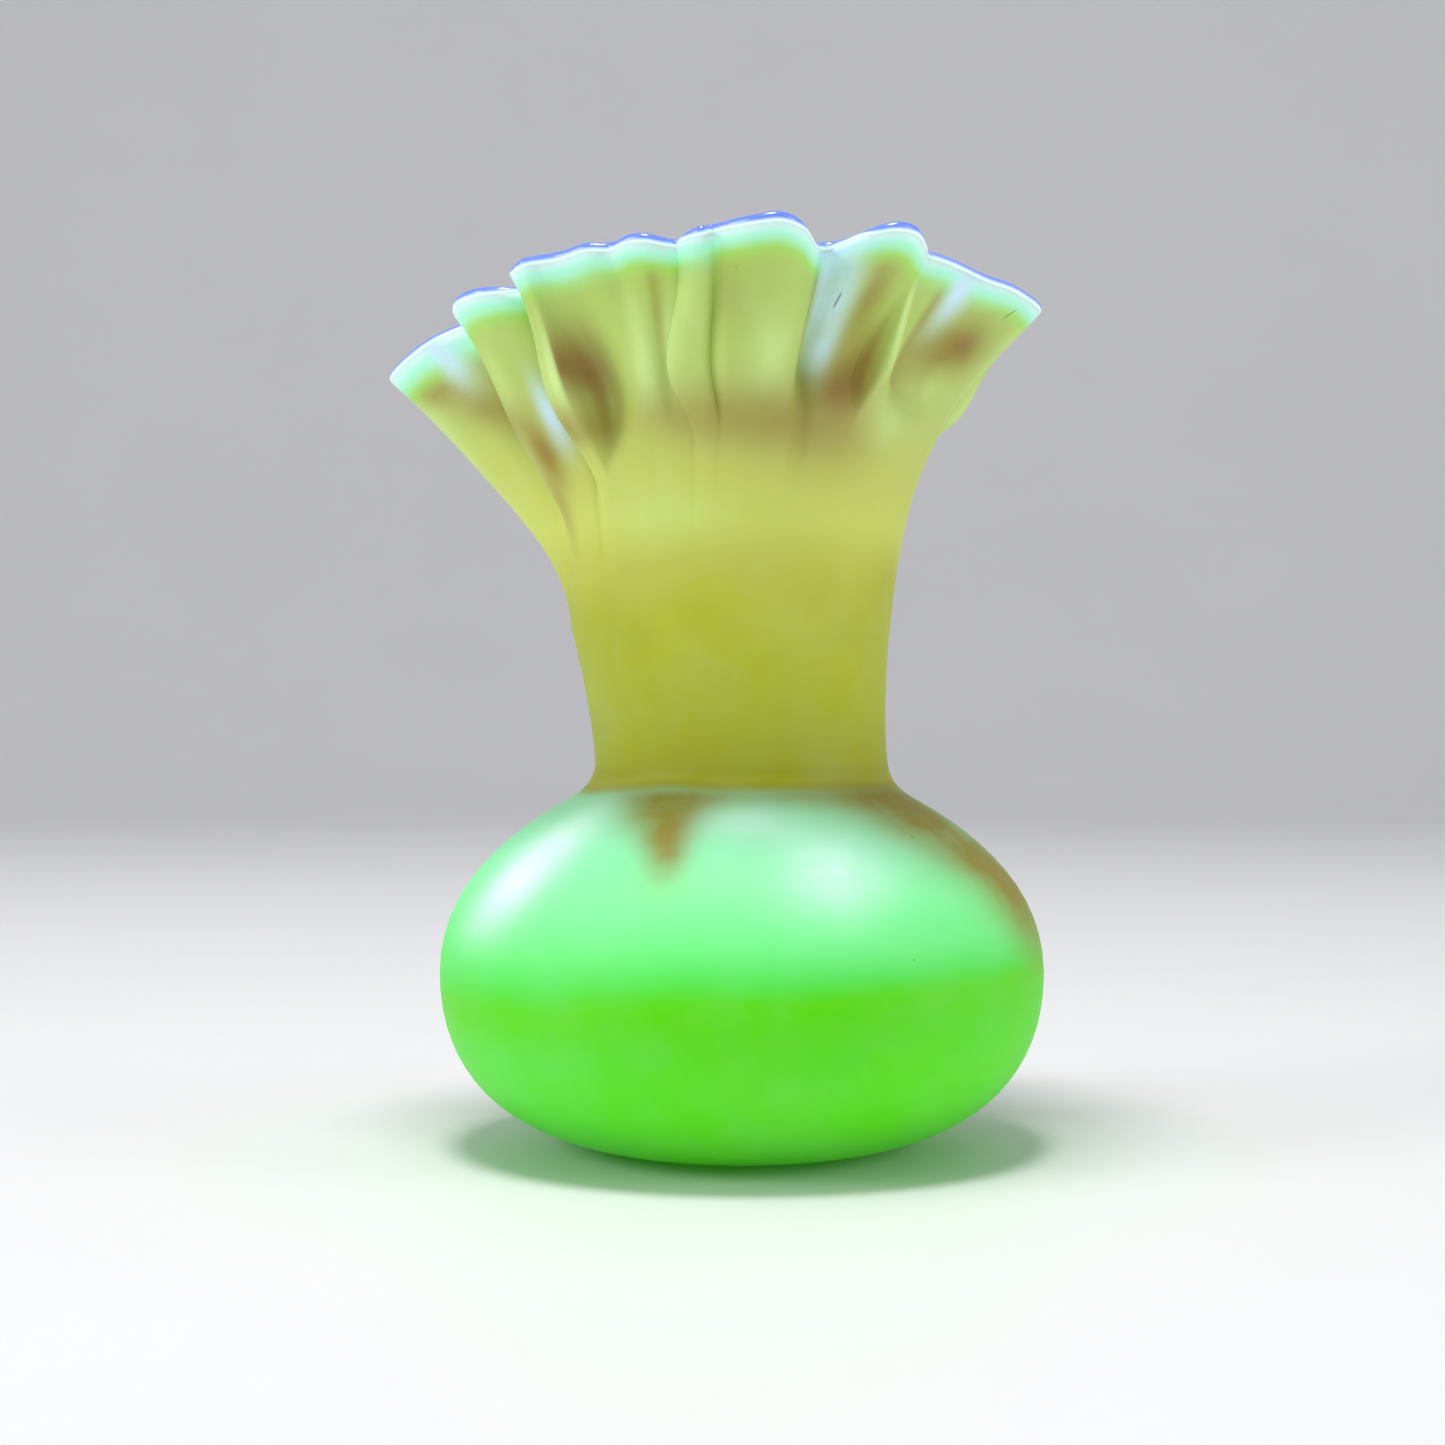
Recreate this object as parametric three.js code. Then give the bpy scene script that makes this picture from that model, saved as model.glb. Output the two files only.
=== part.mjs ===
// A small ruffled vase of uranium glass, blown in one piece with a satin finish.
// Millimetres, +Z up. The origin is the centre of the flat underside of the foot.
// Azimuths are in degrees: 0 is the low side of the mouth (-X), 90 the front (-Y), 180 is +X.
//
// The glass is continuous. It is divided here at the lines that a glass blower works by, so
// each portion is a simple solid: foot, bowl, shoulder, neck, ruffled mouth and lip.

import * as THREE from "three";

// Driving dimensions of the round part.
const FOOT_RADIUS = 11.0; // of the flat ring that the vase stands on
const FLOOR_RADIUS = 23.4; // outside, level with the floor inside
const FLOOR_HEIGHT = 3.0;
const BULB_RADIUS = 32.6;
const WIDEST_HEIGHT = 18.9;
const SHOULDER_RADIUS = 18.9; // where the shoulder meets the neck
const SHOULDER_HEIGHT = 37.4;
const NECK_FOOT_RADIUS = 14.4; // pulls the neck's profile in, above the crease
const WAIST_HEIGHT = 41.0; // the narrowest level, where the neck starts to lean
const NECK_TOP_RADIUS = 17.3;
const NECK_TOP_HEIGHT = 56.0;
const NECK_LEAN = -1.2; // the neck top stands this far off the axis along X
const WALL = 2.2;
const SLANTED_WALL = 4.0; // the same wall, measured level across the slanting shoulder
const SEAM = 0.3; // clear gap between neighbouring portions

// Driving dimensions of the mouth.
const LIP_WALL = 1.2;
const LIP_BAND = 0.035; // share of the flare's curve that the lip takes
const LIP_GAP = 0.011; // share of the curve left clear under the lip
const FLARE_ANGLE = THREE.MathUtils.degToRad(46);

// These pairs are for the high side and the low side, where the flare starts lower.
const THROAT_RISE = [18.5, 6]; // height of the straight throat over the neck
const THROAT_SPREAD = [0.11, 0.08]; // how much the throat widens for each millimetre of rise
const FLARE_REACH = [16, 19.5]; // length of the straight end of the flare
const MEAN_LIP_RADIUS = [32, 35];
const PLEAT_DEPTH = [0.08, 0.32]; // share of a pleat's depth that is kept half way down
const FOLD_START = [0.5, 0.38]; // share of the flare's curve where the folds start
const FOLD_PEAK = [0.68, 0.7]; // and where they are deepest, before they fade to the lip

// Fineness of the solids.
const ROUND_STEPS = 48;
const PROFILE_STEPS = 7;
const STEPS_PER_RIB = 2;
const FLARE_STEPS = 9;
const LIP_EDGE_STEPS = 4;

// The ribs of the front half of the mouth, from the low side round to the far side. Each is
// [azimuth, radius and height of the lip's edge, then how far the fold stands out and how far it
// leans towards a higher azimuth where the folds are deepest].
const FRONT_RIBS = [
  [-3, 38.4, 83.8, 0.4, 0.0],
  [8, 34.5, 86.2, 0.6, 0.0],
  [14.5, 30.6, 87.8, -0.8, 0.0],
  [18.5, 29.4, 88.0, -1.8, 0.0],
  [22, 29.6, 88.1, -1.2, -0.6],
  [25, 32.4, 88.1, 1.0, -1.0],
  [29, 33.5, 88.9, 1.4, 0.0],
  [35, 33.3, 89.3, 0.4, 0.0],
  [39.5, 31.6, 89.4, -0.8, 0.0],
  [42, 28.6, 89.5, -2.4, 0.0],
  [44.5, 29.0, 89.8, -1.6, -0.8],
  [46.6, 33.0, 90.4, 1.0, -2.2],
  [48.2, 33.7, 90.7, 1.9, -1.2],
  [49.6, 34.0, 90.9, 1.9, -0.2],
  [50.8, 33.9, 91.1, -2.2, -0.4],
  [52.8, 33.2, 91.3, -2.9, -0.4],
  [56.5, 32.6, 91.5, -2.0, 0.0],
  [62, 32.7, 92.0, -0.2, 0.0],
  [66, 31.9, 92.0, 0.8, 0.0],
  [70, 32.8, 92.4, 0.4, -0.2],
  [73.2, 33.0, 92.4, -0.5, -0.8],
  [76, 32.2, 92.1, -0.3, -1.6],
  [78.3, 31.4, 92.0, 0.3, -2.3],
  [80.4, 33.3, 92.3, 0.5, -1.8],
  [83, 34.4, 92.6, 0.6, -0.8],
  [84.4, 33.4, 92.9, -1.5, -0.9],
  [86, 33.8, 93.0, -1.0, -1.6],
  [88.4, 35.0, 93.1, 1.0, -1.0],
  [92, 36.2, 93.3, 1.2, 0.0],
  [95.5, 36.4, 93.5, 1.4, 0.0],
  [99, 35.0, 93.0, 1.0, 0.0],
  [102, 31.6, 91.9, -0.4, 0.0],
  [105, 28.2, 92.4, -2.2, 0.0],
  [108.3, 28.2, 92.6, -3.0, 0.0],
  [110.2, 29.8, 92.8, -3.0, 0.0],
  [112, 32.8, 93.2, -2.8, 0.0],
  [115.2, 34.4, 93.6, -2.4, 0.0],
  [118.6, 34.3, 93.5, -2.1, 0.0],
  [121, 33.4, 93.1, -1.9, 0.0],
  [122.8, 32.5, 92.6, -1.6, 0.0],
  [124.2, 31.5, 92.4, 1.7, 0.0],
  [126.4, 30.2, 92.4, 2.2, 0.0],
  [129.5, 28.8, 92.6, 1.2, 0.0],
  [133, 28.0, 92.8, 0.2, 0.0],
  [142, 27.4, 92.7, -2.2, 0.0],
  [153, 28.2, 92.0, -1.8, 0.0],
  [165, 30.0, 91.7, 0.2, 0.0],
  [176.5, 32.2, 90.6, -0.4, 0.0],
];

// The back half repeats one lobe, a valley and three ribs, down towards the low side.
const BACK_LOBES = 5;
const BACK_START = 188;
const BACK_PITCH = 32.4;
const BACK_RIBS = [
  { turn: 0, radius: -5.4, height: 0.6, out: -2.4, lean: 0 },
  { turn: 9.5, radius: -1.6, height: 0.1, out: 1.8, lean: -0.6 },
  { turn: 17.5, radius: 0.8, height: 0.0, out: 1.6, lean: 0 },
  { turn: 25, radius: -1.2, height: 0.2, out: 0.6, lean: 0.6 },
];
const BACK_RADIUS = [33.6, 36.4]; // lip radius of the lobes at the far and at the low side
const BACK_HEIGHT = [90.4, 85.6];

function outward(azimuth) {
  const angle = THREE.MathUtils.degToRad(azimuth);
  return new THREE.Vector3(-Math.cos(angle), -Math.sin(angle), 0);
}

function along(direction, distance, height) {
  return direction.clone().multiplyScalar(distance).setZ(height);
}

// How far the neck has leaned at a height.
function leanAt(height) {
  const share = (height - WAIST_HEIGHT) / (NECK_TOP_HEIGHT - WAIST_HEIGHT);
  return NECK_LEAN * THREE.MathUtils.clamp(share, 0, 1);
}

// Samples a profile curve of radius (x) and height (y), from its first point to its last.
function sampleProfile(points) {
  const corners = points.map(([radius, height]) => new THREE.Vector2(radius, height));
  return new THREE.CubicBezierCurve(...corners).getPoints(PROFILE_STEPS);
}

// Joins closed loops of points into one closed ring-shaped solid. Loop i + 1 follows loop i
// round the axis, and each loop runs up the outside and down the inside.
function ringGeometry(loops) {
  const count = loops[0].length;
  const positions = loops.flat().flatMap((point) => point.toArray());
  const indices = [];
  for (let i = 0; i < loops.length; i += 1) {
    const next = (i + 1) % loops.length;
    for (let j = 0; j < count; j += 1) {
      const up = (j + 1) % count;
      const a = i * count + j;
      const b = next * count + j;
      const c = next * count + up;
      const d = i * count + up;
      indices.push(a, b, c, a, c, d);
    }
  }
  const geometry = new THREE.BufferGeometry();
  geometry.setAttribute("position", new THREE.Float32BufferAttribute(positions, 3));
  geometry.setIndex(indices);
  geometry.computeVertexNormals();
  return geometry;
}

// A round portion between two levels, from its outer and its inner profile curve. It starts
// one seam above the portion under it.
function roundPortion(outer, inner) {
  const bottom = outer[0][1];
  const top = outer[3][1];
  const lift = (height) => bottom + SEAM + ((height - bottom) * (top - bottom - SEAM)) / (top - bottom);
  const section = [...sampleProfile(outer), ...sampleProfile(inner).reverse()];
  const loops = [];
  for (let i = 0; i < ROUND_STEPS; i += 1) {
    const direction = outward((i * 360) / ROUND_STEPS);
    const loop = section.map(({ x, y }) => {
      const point = along(direction, x, lift(y));
      point.x += leanAt(lift(y));
      return point;
    });
    loops.push(loop);
  }
  return ringGeometry(loops);
}

// The thick base, flat below and flat inside.
function footGeometry() {
  const rim = sampleProfile([[FOOT_RADIUS, 0], [14.5, 0], [19.3, 0.75], [FLOOR_RADIUS, FLOOR_HEIGHT]]);
  const profile = [new THREE.Vector2(0, 0), ...rim, new THREE.Vector2(0, FLOOR_HEIGHT)];
  const geometry = new THREE.LatheGeometry(profile, ROUND_STEPS);
  geometry.rotateX(Math.PI / 2);
  return geometry;
}

function bowlGeometry() {
  const start = [FLOOR_RADIUS, FLOOR_HEIGHT];
  const outer = [start, [28.5, 5.7], [BULB_RADIUS, 10.6], [BULB_RADIUS, WIDEST_HEIGHT]];
  const inside = BULB_RADIUS - WALL;
  const inner = [[17.5, FLOOR_HEIGHT], [26.5, 5.0], [inside, 11.0], [inside, WIDEST_HEIGHT]];
  return roundPortion(outer, inner);
}

function shoulderGeometry() {
  const end = [SHOULDER_RADIUS, SHOULDER_HEIGHT];
  const outer = [[BULB_RADIUS, WIDEST_HEIGHT], [BULB_RADIUS, 27.4], [26.4, 33.2], end];
  const inside = BULB_RADIUS - WALL;
  const innerEnd = [SHOULDER_RADIUS - SLANTED_WALL, SHOULDER_HEIGHT];
  const inner = [[inside, WIDEST_HEIGHT], [inside, 26.4], [24.6, 32.0], innerEnd];
  return roundPortion(outer, inner);
}

// The neck turns in sharply at its foot and widens a little towards the mouth.
function neckGeometry() {
  const start = [SHOULDER_RADIUS, SHOULDER_HEIGHT];
  const outer = [start, [NECK_FOOT_RADIUS, 39.6], [15.9, 47.0], [NECK_TOP_RADIUS, NECK_TOP_HEIGHT]];
  const innerStart = [SHOULDER_RADIUS - SLANTED_WALL, SHOULDER_HEIGHT];
  const inner = [innerStart, [12.9, 40.2], [13.9, 47.0], [NECK_TOP_RADIUS - WALL, NECK_TOP_HEIGHT]];
  return roundPortion(outer, inner);
}

// The ribs of the back half, lobe by lobe.
function backRibs() {
  const ribs = [];
  for (let lobe = 0; lobe < BACK_LOBES; lobe += 1) {
    const share = lobe / (BACK_LOBES - 1);
    const radius = THREE.MathUtils.lerp(...BACK_RADIUS, share);
    const height = THREE.MathUtils.lerp(...BACK_HEIGHT, share);
    for (const rib of BACK_RIBS) {
      const azimuth = BACK_START + lobe * BACK_PITCH + rib.turn;
      ribs.push([azimuth, radius + rib.radius, height + rib.height, rib.out, rib.lean]);
    }
  }
  return ribs;
}

// How near an azimuth is to the low side: 1 there and 0 opposite.
function lowness(azimuth) {
  return (0.5 + 0.5 * Math.cos(THREE.MathUtils.degToRad(azimuth))) ** 3;
}

// The four control points of a rib's curve: on the neck top, in the throat, half way out along
// the flare, and in the middle of the lip, half a wall short of its edge.
function ribControls([azimuth, edgeRadius, edgeHeight]) {
  const direction = outward(azimuth);
  const low = lowness(azimuth);
  const rise = THREE.MathUtils.lerp(...THROAT_RISE, low);
  const spread = THREE.MathUtils.lerp(...THROAT_SPREAD, low);
  const reach = THREE.MathUtils.lerp(...FLARE_REACH, low);
  const across = Math.cos(FLARE_ANGLE);
  const up = Math.sin(FLARE_ANGLE);
  const radius = edgeRadius - (LIP_WALL / 2) * across;
  const height = edgeHeight - (LIP_WALL / 2) * up;
  const neck = along(direction, NECK_TOP_RADIUS - WALL / 2, NECK_TOP_HEIGHT + SEAM);
  neck.x += NECK_LEAN;
  const throat = neck.clone().addScaledVector(direction, spread * rise);
  throat.z += rise;
  const kept = THREE.MathUtils.lerp(...PLEAT_DEPTH, low);
  const pleat = (edgeRadius - THREE.MathUtils.lerp(...MEAN_LIP_RADIUS, low)) * (1 - kept);
  const flare = along(direction, radius - reach * across - pleat, height - reach * up);
  const lip = along(direction, radius, height);
  return [neck, throat, flare, lip];
}

// How a rib's fold moves the outside of the wall, and the inside. Where a fold steps, the inside
// keeps to the side nearer the axis, so the wall is never thinner than it is elsewhere.
function ribFolds(rib, i, ribs) {
  const [azimuth, , , out, lean] = rib;
  const direction = outward(azimuth);
  const onward = new THREE.Vector3(-direction.y, direction.x, 0);
  const before = ribs[(i + ribs.length - 1) % ribs.length];
  const after = ribs[(i + 1) % ribs.length];
  const deepest = Math.min(before[3], out, after[3]);
  const outside = direction.clone().multiplyScalar(out).addScaledVector(onward, lean);
  return [outside, direction.clone().multiplyScalar(deepest)];
}

// The curves up the middle of the mouth's wall, one for each step round it, with the fold of the
// outside and the inside there. Closed curves run round the mouth through the ribs' control
// points, and each curve up is the Bezier curve across them.
function mouthCurves() {
  const ribs = [...FRONT_RIBS, ...backRibs()];
  const controls = ribs.map(ribControls);
  const folds = ribs.map(ribFolds);
  const closed = (points) => new THREE.CatmullRomCurve3(points, true, "catmullrom", 0.5);
  const rings = [0, 1, 2, 3].map((level) => closed(controls.map((rib) => rib[level])));
  const foldRings = [0, 1].map((face) => closed(folds.map((fold) => fold[face])));
  const count = ribs.length * STEPS_PER_RIB;
  const curves = [];
  for (let i = 0; i < count; i += 1) {
    const curve = new THREE.CubicBezierCurve3(...rings.map((ring) => ring.getPoint(i / count)));
    curve.folds = foldRings.map((ring) => ring.getPoint(i / count));
    curve.low = THREE.MathUtils.lerp(
      lowness(ribs[Math.floor(i / STEPS_PER_RIB)][0]),
      lowness(ribs[Math.ceil(i / STEPS_PER_RIB) % ribs.length][0]),
      (i % STEPS_PER_RIB) / STEPS_PER_RIB,
    );
    curves.push(curve);
  }
  return curves;
}

// The unit normal of curve i at a share of its length, pointing out of the vase.
function outwardNormal(curves, i, share) {
  const before = curves[(i + curves.length - 1) % curves.length];
  const after = curves[(i + 1) % curves.length];
  const round = after.getPoint(share).sub(before.getPoint(share));
  return round.cross(curves[i].getTangent(share)).normalize();
}

// How much of its fold a curve shows at a share of its length.
function foldShare(curve, share) {
  const start = THREE.MathUtils.lerp(...FOLD_START, curve.low);
  const peak = THREE.MathUtils.lerp(...FOLD_PEAK, curve.low);
  const growing = THREE.MathUtils.smoothstep(share, start, peak);
  return growing * (1 - THREE.MathUtils.smoothstep(share, peak, 1));
}

// Half of the wall's thickness, which tapers from the neck to the lip.
function halfWall(share) {
  return THREE.MathUtils.lerp(WALL, LIP_WALL, share) / 2;
}

// The points up one face of the wall, outside (1) or inside (-1), at the given shares.
function wallFace(curves, i, shares, side) {
  return shares.map((share) => {
    const normal = outwardNormal(curves, i, share);
    const point = curves[i].getPoint(share).addScaledVector(normal, side * halfWall(share));
    const fold = curves[i].folds[side > 0 ? 0 : 1];
    return point.addScaledVector(fold, foldShare(curves[i], share));
  });
}

function mouthGeometry() {
  const curves = mouthCurves();
  const shares = [];
  for (let j = 0; j <= FLARE_STEPS; j += 1) {
    shares.push((j / FLARE_STEPS) * (1 - LIP_BAND - LIP_GAP));
  }
  const loops = curves.map((curve, i) => {
    const outside = wallFace(curves, i, shares, 1);
    const inside = wallFace(curves, i, shares, -1);
    outside[0].z = NECK_TOP_HEIGHT + SEAM;
    inside[0].z = NECK_TOP_HEIGHT + SEAM;
    return [...outside, ...inside.reverse()];
  });
  return ringGeometry(loops);
}

// The fire-polished lip: the last of the wall, ending in a half-round edge.
function lipGeometry() {
  const curves = mouthCurves();
  const shares = [1 - LIP_BAND, 1 - LIP_BAND / 2, 1];
  const loops = curves.map((curve, i) => {
    const normal = outwardNormal(curves, i, 1);
    const rising = curve.getTangent(1);
    const edge = [];
    for (let k = 1; k < LIP_EDGE_STEPS; k += 1) {
      const turn = (Math.PI * k) / LIP_EDGE_STEPS;
      const point = curve.getPoint(1);
      point.addScaledVector(normal, (Math.cos(turn) * LIP_WALL) / 2);
      point.addScaledVector(rising, (Math.sin(turn) * LIP_WALL) / 2);
      edge.push(point);
    }
    return [...wallFace(curves, i, shares, 1), ...edge, ...wallFace(curves, i, shares, -1).reverse()];
  });
  return ringGeometry(loops);
}

function glass(color, roughness) {
  return new THREE.MeshStandardMaterial({ color, roughness, metalness: 0 });
}

function addPortion(group, name, geometry, material) {
  const mesh = new THREE.Mesh(geometry, material);
  mesh.name = name;
  group.add(mesh);
}

const group = new THREE.Group();
addPortion(group, "foot", footGeometry(), glass(0x5fdc10, 0.5));
addPortion(group, "bowl", bowlGeometry(), glass(0x6be61a, 0.5));
addPortion(group, "shoulder", shoulderGeometry(), glass(0x84f59a, 0.5));
addPortion(group, "neck", neckGeometry(), glass(0xb4bd2e, 0.55));
addPortion(group, "ruffled_mouth", mouthGeometry(), glass(0xc2d068, 0.5));
addPortion(group, "lip", lipGeometry(), glass(0x9fb8ff, 0.3));

export default group;
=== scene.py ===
"""A small ruffled vase of uranium glass: the fine glass surface, its materials and the studio.

Lengths in the tables are millimetres, in the frame of the part: +Z up, the origin under the
middle of the foot, the front of the mouth towards -Y and its low side towards -X. Azimuths are
degrees round the axis: 0 on the low side, 90 at the front, 180 on the high side.
"""
import math

import bpy
import numpy as np
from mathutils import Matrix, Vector


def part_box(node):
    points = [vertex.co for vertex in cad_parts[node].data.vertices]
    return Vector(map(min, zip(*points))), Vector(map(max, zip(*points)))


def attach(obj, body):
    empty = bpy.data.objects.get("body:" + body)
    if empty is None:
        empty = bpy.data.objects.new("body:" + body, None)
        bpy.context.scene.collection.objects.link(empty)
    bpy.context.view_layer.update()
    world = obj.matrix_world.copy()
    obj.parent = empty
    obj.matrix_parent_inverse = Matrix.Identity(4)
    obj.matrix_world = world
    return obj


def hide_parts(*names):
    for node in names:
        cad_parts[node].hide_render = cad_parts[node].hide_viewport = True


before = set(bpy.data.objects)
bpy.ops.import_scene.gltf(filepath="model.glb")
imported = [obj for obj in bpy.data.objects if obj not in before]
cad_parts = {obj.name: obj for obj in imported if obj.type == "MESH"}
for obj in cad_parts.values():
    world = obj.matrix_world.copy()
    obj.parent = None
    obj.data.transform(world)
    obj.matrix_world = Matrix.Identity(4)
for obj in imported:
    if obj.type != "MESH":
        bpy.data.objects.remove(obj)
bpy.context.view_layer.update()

MM = 0.001

# Fineness of the glass surface.
STEPS_PER_RIB = 7
PROFILE_STEPS = 12
FLARE_STEPS = 48
EDGE_STEPS = 8

# The round part, as in the CAD portions.
FOOT_RADIUS = 11.0
FLOOR_RADIUS = 23.4
SHOULDER_RADIUS = 18.9
NECK_TOP_RADIUS = 17.3
NECK_LEAN = -1.2
WALL = 2.2
SLANTED_WALL = 4.0
LIP_WALL = 1.2
FLARE_ANGLE = math.radians(46)

FLOOR_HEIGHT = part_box("foot")[1].z / MM
BULB_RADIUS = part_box("bowl")[1].y / MM
WIDEST_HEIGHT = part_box("bowl")[1].z / MM
SHOULDER_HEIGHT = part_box("shoulder")[1].z / MM
NECK_TOP_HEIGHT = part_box("neck")[1].z / MM
WAIST_RADIUS = 15.9
WAIST_HEIGHT = 41.0
NECK_CENTRE = np.array([NECK_LEAN, 0, NECK_TOP_HEIGHT])

# The flare on the high side and on the low side, where it starts lower.
THROAT_RISE = (18.5, 6.0)
THROAT_SPREAD = (0.11, 0.08)
FLARE_REACH = (16.0, 19.5)
MEAN_LIP_RADIUS = (32.0, 35.0)
PLEAT_DEPTH = (0.08, 0.32)
FOLD_START = (0.50, 0.38)
FOLD_PEAK = (0.68, 0.70)
LOW_POWER = 3  # how closely the low side's values keep to the low side
INSIDE_SPAN = 5  # steps on each side over which the inside smooths the folds

# Ribs of the front half: azimuth, radius and height of the lip's edge, then how far the fold
# stands out and leans over, towards a higher azimuth, half way up the flare.
FRONT_RIBS = [
    (-3, 38.4, 83.8, 0.4, 0.0),
    (8, 34.5, 86.2, 0.6, 0.0),
    (14.5, 30.6, 87.8, -0.8, 0.0),
    (18.5, 29.4, 88.0, -1.8, 0.0),
    (22, 29.6, 88.1, -1.2, -0.6),
    (25, 32.4, 88.1, 1.0, -1.0),
    (29, 33.5, 88.9, 1.4, 0.0),
    (35, 33.3, 89.3, 0.4, 0.0),
    (39.5, 31.6, 89.4, -0.8, 0.0),
    (42, 28.6, 89.5, -2.4, 0.0),
    (44.5, 29.0, 89.8, -1.6, -0.8),
    (46.6, 33.0, 90.4, 1.0, -2.2),
    (48.2, 33.7, 90.7, 1.9, -1.2),
    (49.6, 34.0, 90.9, 1.9, -0.2),
    (50.8, 33.9, 91.1, -2.2, -0.4),
    (52.8, 33.2, 91.3, -2.9, -0.4),
    (56.5, 32.6, 91.5, -2.0, 0.0),
    (62, 32.7, 92.0, -0.2, 0.0),
    (66, 31.9, 92.0, 0.8, 0.0),
    (70, 32.8, 92.4, 0.4, -0.2),
    (73.2, 33.0, 92.4, -0.5, -0.8),
    (76, 32.2, 92.1, -0.3, -1.6),
    (78.3, 31.4, 92.0, 0.3, -2.3),
    (80.4, 33.3, 92.3, 0.5, -1.8),
    (83, 34.4, 92.6, 0.6, -0.8),
    (84.4, 33.4, 92.9, -1.5, -0.9),
    (86, 33.8, 93.0, -1.0, -1.6),
    (88.4, 35.0, 93.1, 1.0, -1.0),
    (92, 36.2, 93.3, 1.2, 0.0),
    (95.5, 36.4, 93.5, 1.4, 0.0),
    (99, 35.0, 93.0, 1.0, 0.0),
    (102, 31.6, 91.9, -0.4, 0.0),
    (105, 28.2, 92.4, -2.2, 0.0),
    (108.3, 28.2, 92.6, -3.0, 0.0),
    (110.2, 29.8, 92.8, -3.0, 0.0),
    (112, 32.8, 93.2, -2.8, 0.0),
    (115.2, 34.4, 93.6, -2.4, 0.0),
    (118.6, 34.3, 93.5, -2.1, 0.0),
    (121, 33.4, 93.1, -1.9, 0.0),
    (122.8, 32.5, 92.6, -1.6, 0.0),
    (124.2, 31.5, 92.4, 1.7, 0.0),
    (126.4, 30.2, 92.4, 2.2, 0.0),
    (129.5, 28.8, 92.6, 1.2, 0.0),
    (133, 28.0, 92.8, 0.2, 0.0),
    (142, 27.4, 92.7, -2.2, 0.0),
    (153, 28.2, 92.0, -1.8, 0.0),
    (165, 30.0, 91.7, 0.2, 0.0),
    (176.5, 32.2, 90.6, -0.4, 0.0),
]

# The back half repeats a valley and three ribs, each given as its azimuth from the start of the
# lobe, how its lip's radius and height differ from the lobe's, and its fold as above. The lobes'
# own radius and height go from those on the high side to those on the low side.
BACK_LOBES = 5
BACK_START = 188
BACK_PITCH = 32.4
BACK_RIBS = [
    (0, -5.4, 0.6, -2.4, 0.0),
    (9.5, -1.6, 0.1, 1.8, -0.6),
    (17.5, 0.8, 0.0, 1.6, 0.0),
    (25, -1.2, 0.2, 0.6, 0.6),
]
BACK_RADIUS = (33.6, 36.4)
BACK_HEIGHT = (90.4, 85.6)

# The studio sweep, in metres: the radius of its middle, of its flat part and of its bend, and
# the height of its wall.
SWEEP_MIDDLE = 0.3
SWEEP_FLAT = 0.9
SWEEP_BEND = 0.6
SWEEP_WALL = 1.6
SWEEP_STEPS = 12
SWEEP_ROUNDS = 96

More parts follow.
